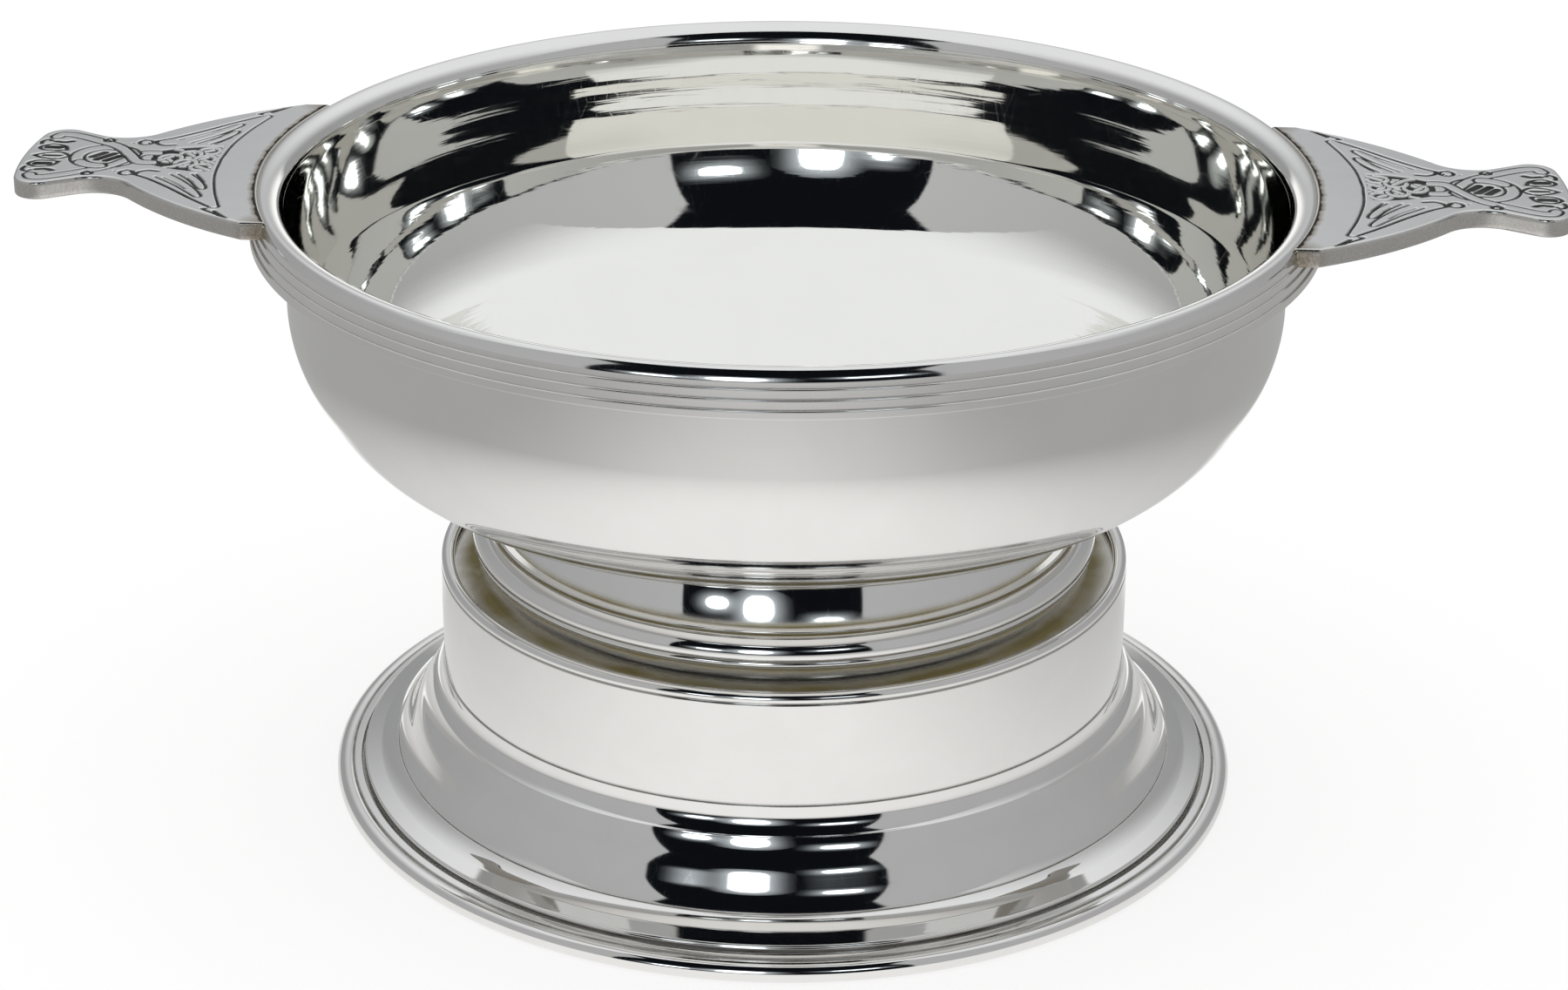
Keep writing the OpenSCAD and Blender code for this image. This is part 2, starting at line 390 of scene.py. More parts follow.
turnCentre = (bowl["wallRadius"] - bowl["turnRadius"], bowl["wallFoot"])
bottomReach = bowl["bottomRadius"] - bowl["turnRadius"]
bottomCentre = (0.0, bowl["wallFoot"] + math.sqrt(bottomReach ** 2 - turnCentre[0] ** 2))
bottomTurn = math.degrees(math.asin(turnCentre[0] / bottomReach))
rollCentre = (lip["crest"], lip["top"] - lip["rollRadius"])
rollFoot = away(rollCentre, -lip["rollRadius"], -lip["rollTurn"])
wallTop = (bowl["wallRadius"] + bowl["wallLean"], rollFoot[1])


def underBowl(radius):
    return (radius, bottomCentre[1] - math.sqrt(bowl["bottomRadius"] ** 2 - radius ** 2))


# the inside has its own finish: 1 where a face lies on it, 0 on the outside
def isInside(mid):
    if mid[1] > bowl["wallFoot"]:
        return 1 if mid[0] < bowl["wallRadius"] - bowl["wallSkin"] else 0
    turned = math.degrees(math.atan2(mid[0], bottomCentre[1] - mid[1])) > bottomTurn
    if turned:
        depth = bowl["turnRadius"] - math.dist(mid, turnCentre)
    else:
        depth = bowl["bottomRadius"] - math.dist(mid, bottomCentre)
    return 1 if depth > bowl["turnSkin"] else 0


# the spun inside: how far its wall leans from upright, in degrees,
# at distances in mm down from the lip's roll
inside = {"step": 0.5, "dishStep": 0.8, "lean": (
    (0, 9.0), (4, 4.0), (8, 2.8), (12, 5.0), (16, 3.7), (20, 2.0), (21.5, 4.0), (23, 13.2),
    (26.6, 16.5), (29.5, 21.0), (32, 25.0), (35, 30.8), (38, 36.8), (41.5, 44.4), (44, 53.0),
    (47, 63.0))}


def insideWall():
    down, leans = zip(*inside["lean"])
    radius, height = rollFoot
    wall = [rollFoot]
    for k in range(round(down[-1] / inside["step"])):
        lean = math.radians(np.interp((k + 0.5) * inside["step"], down, leans))
        radius -= inside["step"] * math.sin(lean)
        height -= inside["step"] * math.cos(lean)
        wall.append((radius, height))
    dish = radius / math.cos(math.radians(leans[-1]))
    dishCentre = (0.0, height + dish * math.sin(math.radians(leans[-1])))
    return wall + arc(dishCentre, dish, -leans[-1], -90, inside["dishStep"])


bowlOutline = arc(bottomCentre, bowl["bottomRadius"], -90, bottomTurn - 90, 0.8)
bowlOutline += arc(turnCentre, bowl["turnRadius"], bottomTurn - 90, 0, 2)
bowlOutline += [(bowl["wallRadius"], bowl["bandFoot"]), wallTop]
bowlOutline += insideWall()
turnPiece("bowlShell", bowlOutline, "quaich", "bowl", [bowlOutside, bowlInside],
          isInside, ease=0.05)

edgeCentre = (lip["crest"], lip["top"] - lip["edge"])
browCentre = away(edgeCentre, lip["edge"] - lip["brow"], lip["edgeTurn"])
bandTop = away(browCentre, lip["brow"], lip["browTurn"])
bandOutline = [(bowl["wallRadius"], bowl["bandFoot"]), wallTop]
bandOutline += arc(rollCentre, lip["rollRadius"], 180 - lip["rollTurn"], 90, 2)
bandOutline += arc(edgeCentre, lip["edge"], lip["crestTurn"], lip["edgeTurn"], 4)
bandOutline += arc(browCentre, lip["brow"], lip["edgeTurn"], lip["browTurn"], 2)
for i in range(lip["steps"]):
    stepRadius = bandTop[0] + i * lip["stepOut"]
    stepTop = bandTop[1] - lip["stepDrop"] - i * lip["stepHeight"]
    stepCorner = (stepRadius + lip["stepOut"] - lip["stepEdge"], stepTop - lip["stepEdge"])
    bandOutline += [(stepRadius, stepTop)] + arc(stepCorner, lip["stepEdge"], 90, 0, 15)
bandOutline.append((bandOutline[-1][0], bowl["bandFoot"]))
# the outline runs clockwise here, so it is turned about
turnPiece("rimBand", bandOutline[::-1], "quaich", "rim_band", [bandMetal],
          ease=0.06, recess=0.16)


foot = {"coveCentre": (81.2, 68.2), "coveRadius": 28.0, "low": 26.0, "high": 8.6, "wall": 1.6,
        "innerShort": 1.5, "seat": 45.0}
footTop = away(foot["coveCentre"], -foot["coveRadius"], foot["high"])[0]
footLow = away(foot["coveCentre"], -foot["coveRadius"], foot["low"])
footOutline = arc(foot["coveCentre"], foot["coveRadius"], 180 + foot["low"], 180 + foot["high"], 1)
footOutline += [underBowl(footTop), underBowl(footTop - foot["wall"])]
footOutline += arc(foot["coveCentre"], foot["coveRadius"] + foot["wall"], 180 + foot["high"],
                   180 + foot["low"] - foot["innerShort"], 2)
footOutline += [(footLow[0] - foot["wall"], footLow[1])]
# stains here: olive dirt with painted shade where the foot meets the bowl and the moulding
turnPiece("footWall", footOutline, "quaich", "foot", [footMetal], ease=0.05,
          stains=[(underBowl(footTop), 0.8, 0.55), (footLow, 0.9, 0.7)])

# heights of the moulding are above the seat
moulding = {"flat": 60.2, "flatRises": (0, 1.6, 2.6, 3.4, 4.2), "corner": (59.8, 4.4),
            "lowBead": ((59.7, 5.3), 1.1, -52, 58, 8), "bigBead": ((57.8, 7.0), 3.3, -12, 78, 3),
            "nick": (57.9, 10.1), "topBead": ((57.2, 10.4), 0.42, -45, 75, 12), "sole": 58.2,
            "back": [(56.0, 6.0), (58.2, 3.0)]}
mouldingOutline = [(moulding["sole"], 0)]
mouldingOutline += [(moulding["flat"], rise) for rise in moulding["flatRises"]]
mouldingOutline += [moulding["corner"]]
mouldingOutline += arc(*moulding["lowBead"])
mouldingOutline += arc(*moulding["bigBead"])
mouldingOutline += [moulding["nick"]]
mouldingOutline += arc(*moulding["topBead"])
mouldingOutline += lifted([footLow, (footLow[0] - foot["wall"], footLow[1])], -foot["seat"])
mouldingOutline += moulding["back"]
mouldingDirtAndShade = lifted([(moulding["flat"], moulding["flatRises"][-1]), moulding["nick"]],
                        foot["seat"])
# stains here: olive dirt on the moulding's flat and painted shade in its nick
turnPiece("footMoulding", lifted(mouldingOutline, foot["seat"]), "quaich", "foot_moulding",
          [footMetal], ease=0.08, recess=0.3,
          stains=[(mouldingDirtAndShade[0], 1.0, 0.85), (mouldingDirtAndShade[1], 1.0, 0.4)])


# extra rings near the drum's ends and on the seat keep the tarnish and painted shade where they belong
plinth = {"drum": 67.3, "sheet": 1.6, "seat": 45.0, "seatThick": 2.0, "collar": 25.0,
          "drumTop": 45.5, "lowRings": (0.0, 0.6, 1.2), "topRing": 1.2, "wire": 1.3,
          "wireRise": 0.95, "stainRing": 60.4, "middle": 20.0,
          "seatRings": (64.5, 63.5, 62.8, 62.2, 61.6, 61.0, 60.4, 59.6, 58.5, 56.0)}
drumInner = plinth["drum"] - plinth["sheet"]
drumOutline = [(drumInner, plinth["collar"])]
drumOutline += [(plinth["drum"], plinth["collar"] + rise) for rise in plinth["lowRings"]]
drumOutline += [(plinth["drum"], plinth["drumTop"] - plinth["topRing"]),
                (plinth["drum"], plinth["drumTop"]), (drumInner, plinth["drumTop"])]
# the stain here is painted shade where the drum meets the skirt
turnPiece("plinthDrum", drumOutline, "plinth", "plinth_drum", [plinthMetal],
          ease=0.06, stains=[((plinth["drum"], plinth["collar"]), 0.7, 0.3)])

wireCentre = (plinth["drum"] - plinth["wire"], plinth["drumTop"] + plinth["wireRise"])
wireOpen = math.degrees(math.asin(plinth["wireRise"] / plinth["wire"]))
# the stain here is painted shade where the wire sits on the drum
turnPiece("plinthRim", arc(wireCentre, plinth["wire"], -wireOpen, 180 + wireOpen, 6), "plinth",
          "plinth_rim", [plinthMetal], ease=0.03,
          stains=[((wireCentre[0] - plinth["wire"], plinth["drumTop"]), 0.7, 0.35)])

seatUnder = plinth["seat"] - plinth["seatThick"]
seatOutline = [(0.0, seatUnder), (plinth["middle"], seatUnder), (drumInner, seatUnder)]
seatOutline += [(radius, plinth["seat"])
                for radius in (drumInner, *plinth["seatRings"], plinth["middle"], 0.0)]
turnPiece("plinthSeat", seatOutline, "plinth", "plinth_seat", [seatMetal],
          stains=[((plinth["stainRing"], plinth["seat"]), 1.0, 3.2)])

# skirt: a neck cove runs down to an arris, then a throat, a round belly
# and a hollow flare with one cut line
skirt = {"collarRadius": 67.6, "collarLow": 23.6, "collarLap": 0.3, "collarIn": 2.0, "neck": 4.9,
         "neckTop": 2.0, "neckLow": 55.0, "throat": 10.5, "throatTop": 17.0, "throatLow": 40.0,
         "belly": 10.4, "steepest": 24.5, "slope": 2.5, "flare": 10.3, "flareLow": 72.0,
         "flareInner": 62.0, "line": 50.0, "lineHalf": 1.0, "lineDeep": 0.2,
         "edgeCentre": (83.27, 4.8), "edge": 0.45, "foot": 4.4, "footWidth": 3.6, "sheet": 1.6}
neckCentre = away((skirt["collarRadius"], skirt["collarLow"]), skirt["neck"], skirt["neckTop"])
arris = away(neckCentre, -skirt["neck"], skirt["neckLow"])
throatCentre = away(arris, skirt["throat"], skirt["throatTop"])
bellyCentre = away(throatCentre, -skirt["throat"] - skirt["belly"], skirt["throatLow"])
slopeTop = away(bellyCentre, skirt["belly"] + skirt["flare"], skirt["steepest"])
flareCentre = away(slopeTop, skirt["slope"], skirt["steepest"] - 90)
collarInner = skirt["collarRadius"] - skirt["sheet"]
skirtEdge = skirt["edgeCentre"][0]
throatTop, throatLow = 180 + skirt["throatTop"], 180 + skirt["throatLow"]
flareTop, flareLine = 180 + skirt["steepest"], 180 + skirt["line"]
skirtOutline = [(collarInner - skirt["collarLap"], plinth["collar"]),
                (skirt["collarRadius"], plinth["collar"])]
skirtOutline += arc(neckCentre, skirt["neck"], 180 + skirt["neckTop"], 180 + skirt["neckLow"], 2)
skirtOutline += arc(throatCentre, skirt["throat"], throatTop, throatLow, 1.5)
skirtOutline += arc(bellyCentre, skirt["belly"], skirt["throatLow"], skirt["steepest"], 1)
skirtOutline += arc(flareCentre, skirt["flare"], flareTop, flareLine - skirt["lineHalf"], 1.5)
skirtOutline += [away(flareCentre, -skirt["flare"] - skirt["lineDeep"], skirt["line"])]
skirtOutline += arc(flareCentre, skirt["flare"], flareLine + skirt["lineHalf"],
                    180 + skirt["flareLow"], 1.5)
skirtOutline += arc(skirt["edgeCentre"], skirt["edge"], 85, 0, 12)
skirtOutline += [(skirtEdge + skirt["edge"], skirt["foot"]),
                 (skirtEdge - skirt["footWidth"], skirt["foot"])]
skirtOutline += arc(flareCentre, skirt["flare"] + skirt["sheet"], 180 + skirt["flareInner"],
                    flareTop, 4)
skirtOutline += arc(bellyCentre, skirt["belly"] - skirt["sheet"], skirt["steepest"],
                    skirt["throatLow"], 4)
skirtOutline += arc(throatCentre, skirt["throat"] + skirt["sheet"], throatLow, throatTop, 4)
skirtOutline += [(collarInner, plinth["collar"] - skirt["collarIn"])]
turnPiece("plinthSkirt", skirtOutline[::-1], "plinth", "plinth_skirt",
          [plinthMetal], ease=0.08, recess=0.2)

baseRing = {"inner": 81.4, "outer": 89.3, "bead": 2.0, "top": 4.4, "fillet": [
    (86.1, 3.6), (85.8, 3.9), (84.5, 4.0), (84.1, 3.7), (83.6, 3.3), (82.6, 3.3), (82.6, 4.4)]}
beadCentre = (baseRing["outer"] - baseRing["bead"], baseRing["bead"])
ringOutline = [(baseRing["inner"], baseRing["top"]), (baseRing["inner"], 0.0)]
ringOutline += arc(beadCentre, baseRing["bead"], -90, 118, 6)
ringOutline += baseRing["fillet"]
turnPiece("plinthBaseRing", ringOutline, "plinth", "plinth_base_ring",
          [plinthMetal], ease=0.12, recess=0.3)


# cast handles: a flat plate with a cut ornament of feathers, knots and a crossed ring;
# plan points are (distance from the cup's axis, sideways) in mm
handle = {"low": 120.4, "top": 124.0, "rootRadius": 99.6, "rootHalf": 34.8, "rootRun": 1.5,
          "rootGap": 0.2, "shoulderFrom": 97.6, "shoulder": 83.0, "waistCentre": (129.3, 20.0),
          "waist": 8.5, "waistIn": 218.0, "cornerCentre": (140.5, 11.2), "corner": 4.6,
          "cornerOut": 8.0, "end": 146.0, "edge": 0.5, "edgeSteps": 5, "rows": 400,
          "columns": 380, "sideWeight": 0.35}


def handlePlan():
    gap = Vector(handle["cornerCentre"]) - Vector(handle["waistCentre"])
    crossing = math.degrees(math.acos((handle["waist"] + handle["corner"]) / gap.length))
    waistOut = math.degrees(math.atan2(gap.y, gap.x)) - crossing
    start = Vector((handle["shoulderFrom"], handle["rootHalf"]))
    end = Vector(away(handle["waistCentre"], handle["waist"], handle["waistIn"]))
    half = (end - start).length / 2
    acrossBow = math.degrees(math.atan2(end.y - start.y, end.x - start.x)) + 90
    sunk = math.sqrt(handle["shoulder"] ** 2 - half ** 2)
    bowCentre = away((start + end) / 2, -sunk, acrossBow)
    opening = math.degrees(math.asin(half / handle["shoulder"]))
    rootU = math.sqrt(handle["rootRadius"] ** 2 - handle["rootHalf"] ** 2)
    plan = [(rootU, handle["rootHalf"]), (rootU + handle["rootRun"], handle["rootHalf"])]
    plan += arc(bowCentre, handle["shoulder"], acrossBow + opening, acrossBow - opening, 0.4)
    plan += arc(handle["waistCentre"], handle["waist"], handle["waistIn"], waistOut + 360, 2)
    plan += arc(handle["cornerCentre"], handle["corner"], waistOut + 180, handle["cornerOut"], 3)
    return np.array(dropRepeats(plan))


# moves a row of plan points inwards by the edge round and spaces them evenly along the handle
def handleStations(rows, inset):
    plan = handlePlan()
    way = np.gradient(plan, axis=0)
    way /= np.linalg.norm(way, axis=1)[:, None]
    plan = plan + inset * np.stack([way[:, 1], -way[:, 0]], 1)
    stepU, stepV = np.abs(np.diff(plan[:, 0])), np.abs(np.diff(plan[:, 1]))
    run = np.concatenate([[0], np.cumsum(stepU + handle["sideWeight"] * stepV)])
    even = np.linspace(0, run[-1], rows)
    return np.interp(even, run, plan[:, 0]), np.interp(even, run, plan[:, 1])


def smoothWay(points, perSpan=10):
    p = [np.array(q, float) for q in points]
    p = [2 * p[0] - p[1]] + p + [2 * p[-1] - p[-2]]
    out = []
    for i in range(1, len(p) - 2):
        for k in range(perSpan):
            t = k / perSpan
            out.append(0.5 * (2 * p[i] + (p[i + 1] - p[i - 1]) * t
                              + (2 * p[i - 1] - 5 * p[i] + 4 * p[i + 1] - p[i + 2]) * t * t
                              + (3 * p[i] - p[i - 1] - 3 * p[i + 1] + p[i + 2]) * t ** 3))
    out.append(p[-2])
    return np.array(out)


def roundWay(centre, radius, start=0.0, end=360.0):
    return np.array(arc(centre, radius, start, end, 10))


# distance of plan points from a drawn line, far points are left at a large value
def awayFrom(points, way, reach):
    low, high = way.min(0) - reach, way.max(0) + reach
    near = np.nonzero(((points > low) & (points < high)).all(1))[0]
    distance = np.full(len(points), 1e3)
    some = points[near]
    best = np.full(len(near), 1e6)
    for a, b in zip(way[:-1], way[1:]):
        d = b - a
        f = np.clip(((some - a) @ d) / max(d @ d, 1e-12), 0, 1)
        best = np.minimum(best, ((some - a - f[:, None] * d) ** 2).sum(1))
    distance[near] = np.sqrt(best)
    return distance


def mirrored(points):
    return [(u, -v) for u, v in points]


# sizes of the cuts in mm: half width, depth and softness, and the grooves beside the straps
cut = {"half": 0.4, "wider": 2.0, "depth": 0.36, "soft": 0.10, "pit": 0.4, "plait": 0.19,
       "bank": 1.15, "slack": 0.08, "shade": 1.6, "search": 1.0, "dot": 0.01}
# single cut lines of one half, the other half mirrors them: (line, half width)
cutLines = [
    ([(103.4, 25.2), (105.5, 18.0), (107.3, 9.0), (107.9, 0.0)], 0.13),
    ([(103.4, 25.2), (103.0, 26.7), (104.0, 27.4), (105.2, 26.4)], 0.14),
    ([(105.2, 26.4), (109.4, 22.2), (114.6, 16.6), (119.2, 12.2), (122.4, 9.9)], 0.21),
    ([(103.4, 28.9), (101.9, 30.8), (100.6, 32.4)], 0.2),
    ([(100.6, 32.4), (103.1, 30.3), (105.7, 28.0), (105.2, 27.6)], 0.2),
    ([(118.2, 10.9), (113.8, 15.2), (110.6, 19.0), (108.4, 21.6), (107.5, 20.7), (109.8, 16.4),
      (112.9, 12.2), (115.6, 9.3)], 0.15),
    ([(116.6, 11.3), (113.6, 14.2), (111.2, 17.2)], 0.1),
    ([(114.2, 9.0), (111.2, 12.8), (109.0, 16.6), (107.7, 17.2), (107.7, 15.4), (109.5, 11.8),
      (111.6, 8.9)], 0.15),
    ([(110.8, 8.7), (109.5, 11.0), (108.5, 13.0)], 0.13),
    ([(112.2, 11.0), (110.6, 13.2)], 0.1),
    ([(122.4, 9.9), (122.0, 8.4), (120.4, 7.4), (118.4, 7.7)], 0.24),
    ([(137.0, 0.0), (139.2, 2.0), (142.0, 1.4), (144.1, 0.0)], 0.22),
    ([(138.4, 3.3), (139.4, 5.8), (142.0, 6.6), (144.0, 5.0), (143.0, 3.3), (140.6, 3.0),
      (138.4, 3.3)], 0.22),
    ([(140.3, 4.7), (142.3, 4.8)], 0.5),
    ([(144.2, 6.6), (144.4, 8.2), (143.4, 9.4), (142.6, 8.6)], 0.22),
    ([(141.6, 8.2), (140.0, 7.9), (138.6, 8.5)], 0.34),
]
cutMiddle = [([(139.0, 0.0), (142.0, 0.0)], 0.3), ([(127.6, -0.4), (129.6, 2.3)], 0.42),
             ([(128.9, -1.8), (131.5, 1.7)], 0.42), ([(130.8, -2.3), (132.7, 0.3)], 0.42)]
cutDots = [((123.6, 8.6), 0.36), ((126.6, 8.2), 0.25)]
cutRings = [((124.2, 8.9), 1.35), ((131.6, 9.7), 0.95)]
cutWays = [(smoothWay(line), half * cut["wider"]) for line, half in cutMiddle]
for line, half in cutLines:
    cutWays += [(smoothWay(side), half * cut["wider"]) for side in (line, mirrored(line))]
for (u, v), radius in cutRings:
    cutWays += [(roundWay((u, side), radius), cut["half"]) for side in (v, -v)]
for (u, v), radius in cutDots:
    cutWays += [(np.array([(u, side), (u + cut["dot"], side)]), radius) for side in (v, -v)]

# woven straps, later ones pass over earlier ones: (line, half width)
ringMiddle, ringRadius, ringHalf, armHalf = (130.2, 0.0), 5.4, 1.0, 0.85
arm = [(120.6, -2.8), (123.4, -2.4), (125.4, 0.8), (128.8, 5.9), (133.6, 9.3), (138.4, 12.1),
       (141.2, 12.6), (142.2, 11.2)]
straps = [
    (roundWay(ringMiddle, ringRadius, 20, 200), ringHalf),
    (smoothWay(arm), armHalf),
    (roundWay(ringMiddle, ringRadius, 200, 380), ringHalf),
    (smoothWay(mirrored(arm)), armHalf),
    (roundWay(ringMiddle, ringRadius, 40, 90), ringHalf),
]
# close plait in the middle, on a sunk dark ground
plaitGround = [(108.7, 7.3), (112.6, 7.4), (116.6, 6.3), (120.6, 4.3), (121.4, 0.0)]
plaitHalf = 0.42
plaitRings = [((110.9, 4.7), 1.9), ((110.9, 0.0), 1.9), ((110.9, -4.7), 1.9), ((114.2, 2.5), 2.0),
              ((114.2, -2.5), 2.0), ((117.6, 0.0), 2.1)]
plaitStrands = [[(108.8, 6.6), (112.4, 3.9), (116.2, 2.5), (120.8, -2.9)],
                [(108.8, 2.4), (112.6, -0.6), (116.0, -4.4), (117.8, -5.4)]]
plait = [roundWay(centre, radius, 0, 180) for centre, radius in plaitRings]
for strand in plaitStrands:
    plait += [smoothWay(strand), smoothWay(mirrored(strand))]
plait += [roundWay(centre, radius, 180, 360) for centre, radius in plaitRings]


# depth and darkness of the cut ornament at plan points
def ornament(points):
    depth, dark = np.zeros(len(points)), np.zeros(len(points))

    def sink(way, half):
        distance = awayFrom(points, way, half + cut["search"])
        covered = np.clip((half - distance) / cut["soft"] + 0.5, 0, 1)
        sunk = np.clip(cut["bank"] - (distance / (half + cut["slack"])) ** 2, 0, 1)
        np.maximum(depth, cut["depth"] * sunk, out=depth)
        np.maximum(dark, covered, out=dark)

    def lay(way, half, groove, ground):
        distance = awayFrom(points, way, half + cut["search"])
        covered = np.clip((half - distance) / cut["soft"] + 0.5, 0, 1)
        edge = np.clip(1 - ((distance - (half + groove)) / groove) ** 2, 0, 1)
        depth[:] = np.maximum(depth * (1 - covered), edge * ground)
        dark[:] = np.maximum(dark * (1 - covered), np.clip(edge * cut["shade"], 0, 1))

    rim = np.array(plaitGround)
    u, v = points[:, 0], np.abs(points[:, 1])
    inGround = (u > rim[0, 0]) & (u < rim[-1, 0]) & (v < np.interp(u, rim[:, 0], rim[:, 1]))
    depth[inGround] = cut["pit"]
    dark[inGround] = 1.0
    for way in plait:
        lay(way, plaitHalf, cut["plait"], cut["pit"])
    depth[~inGround] = 0.0
    dark[~inGround] = 0.0
    for way, half in straps:
        lay(way, half, cut["half"], cut["depth"])
    for way, half in cutWays:
        sink(way, half)
    return depth, dark


# uneven dark line along the root: solder, with a painted shadow of the gap between handle and rim;
# brown at the root's two corners and on the edges
root = {"solderShadow": 0.6, "waves": ((0.12, 0.9, 0.0), (0.08, 2.3, 1.0)), "solderShadowSoft": 0.25,
        "stainReach": 0.8, "cornerStain": 1.4, "cornerReach": 4.0, "edgeReach": 5.0,
        "edgeStain": 0.5, "edgeMore": 0.8, "sideAmount": 0.9, "roundAmount": (0.25, 0.1)}


# heights of the edge's rings from the top down: (outwards, height, amount of stain)
def edgeLevels():
    edge, steps, top, low = handle["edge"], handle["edgeSteps"], handle["top"], handle["low"]
    turns = [math.radians(90 * k / steps) for k in range(steps + 1)]
    first, more = root["roundAmount"]
    levels = [(edge * math.sin(t), top - edge * (1 - math.cos(t)), first + more * k)
              for k, t in enumerate(turns) if k]
    upright = top - low - 2 * edge
    levels += [(edge, top - edge - upright * k / steps, root["sideAmount"])
               for k in range(1, steps)]
    levels += [(edge * math.cos(t), low + edge * (1 - math.sin(t)), root["sideAmount"])
               for t in turns]
    return levels


def castHandle(name, node, turned, material):
    rows, columns, edge = handle["rows"], handle["columns"], handle["edge"]
    stationU, stationV = handleStations(rows, edge)
    across = np.linspace(-1, 1, columns)
    radius, half, rootU = handle["rootRadius"], handle["rootHalf"], stationU[0]
    bulge = np.sqrt(radius ** 2 - (across * half) ** 2) - math.sqrt(radius ** 2 - half ** 2)
    bulge /= bulge.max()
    done = (stationU - rootU) / (stationU[-1] - rootU)
    rootBow = radius + edge * handle["rootGap"] - rootU
    endBow = handle["end"] - edge - stationU[-1]
    bow = rootBow * (1 - done) ** 2 + endBow * done ** 4
    u = stationU[:, None] + bow[:, None] * bulge[None, :]
    v = stationV[:, None] * across[None, :]
    plan = np.stack([u.ravel(), v.ravel()], 1)
    depth, dark = ornament(plan)
    verts = [np.column_stack([plan, handle["top"] - depth])]
    fromRoot = np.hypot(plan[:, 0], plan[:, 1]) - radius
    solderShadow = root["solderShadow"]
    for size, pace, start in root["waves"]:
        solderShadow = solderShadow + size * np.sin(pace * plan[:, 1] + start)
    # the dark line along the root is solder with a painted shadow of the gap between handle and rim
    dark = np.maximum(dark, np.clip((solderShadow - fromRoot) / root["solderShadowSoft"], 0, 1))
    toCorner = np.hypot(plan[:, 0] - rootU, np.abs(plan[:, 1]) - half)
    stain = np.maximum(np.clip(1 - (fromRoot - solderShadow) / root["stainReach"], 0, 1),
                       np.clip(root["cornerStain"] - toCorner / root["cornerReach"], 0, 1))
    engraved, stains = [dark], [stain]
    index = np.arange(rows * columns).reshape(rows, columns)
    corners = [index[:-1, :-1], index[1:, :-1], index[1:, 1:], index[:-1, 1:]]
    faces = [tuple(q) for q in np.stack(corners, -1).reshape(-1, 4).tolist()]
    # the border is carried round the edge and down to the underside
    loop = np.concatenate([index[:, -1], index[-1, -2::-1], index[-2::-1, 0], index[0, 1:-1]])
    border = plan[loop]
    ahead = np.roll(border, -1, 0) - np.roll(border, 1, 0)
    ahead /= np.linalg.norm(ahead, axis=1)[:, None]
    outward = np.stack([ahead[:, 1], -ahead[:, 0]], 1)
    if ((border - border.mean(0)) * outward).sum() < 0:
        outward = -outward
    borderReach = np.hypot(border[:, 0], border[:, 1]) - radius
    nearRoot = np.clip(1 - borderReach / root["edgeReach"], 0, 1)
    previous, count = loop, rows * columns
    for out, height, amount in edgeLevels():
        verts.append(np.column_stack([border + outward * out, np.full(len(border), height)]))
        engraved.append(np.zeros(len(border)))
        stains.append(np.clip(root["edgeStain"] * amount + root["edgeMore"] * nearRoot * amount,
                              0, 1))
        ring = np.arange(count, count + len(border))
        for a, b, c, d in zip(previous, np.roll(previous, -1), np.roll(ring, -1), ring):
            faces.append((int(a), int(d), int(c), int(b)))
        previous, count = ring, count + len(border)
    faces.append(tuple(int(i) for i in previous))
    verts = np.concatenate(verts)
    if turned:
        verts[:, :2] *= -1
    mesh = bpy.data.meshes.new(name)
    mesh.from_pydata((verts * mm).tolist(), [], faces)
    for label, values in (("engraved", engraved), ("stain", stains)):
        data = mesh.attributes.new(label, "FLOAT", "POINT").data
        data.foreach_set("value", np.concatenate(values))
    work = bmesh.new()
    work.from_mesh(mesh)
    under = [f for f in work.faces if len(f.verts) > 4]
    bmesh.ops.triangulate(work, faces=under)
    bmesh.ops.recalc_face_normals(work, faces=work.faces[:])
    for f in work.faces:
        f.smooth = True
    work.to_mesh(mesh)
    work.free()
    mesh.materials.append(material)
    placePiece(name, mesh, "quaich", node)
    print(name, "cast:", len(mesh.polygons), "faces")


# cast pewter: a soft polish, dark patina rubbed into the cuts, a painted shadow along the root, brown
# stain on the edges
castLook = {"colour": (0.80, 0.80, 0.795), "shade": (0.755, 0.755, 0.75),
            "patinaAndRootShadow": (0.010, 0.009, 0.008), "stain": (0.27, 0.215, 0.145), "gloss": 0.09,
            "hazeGloss": 0.15, "cloudScale": 0.22, "grainScale": 2.6, "grainDepth": 0.0015,
            "waveScale": 0.07, "waveDepth": 0.06, "stainBreak": (0.3, 0.65, 0.6, 1.0),
            "wornBreak": (0.3, 0.7, 1.0, 0.94), "glossBreak": (0.3, 0.7), "stainRough": 0.12,
            "patinaRough": 0.4}


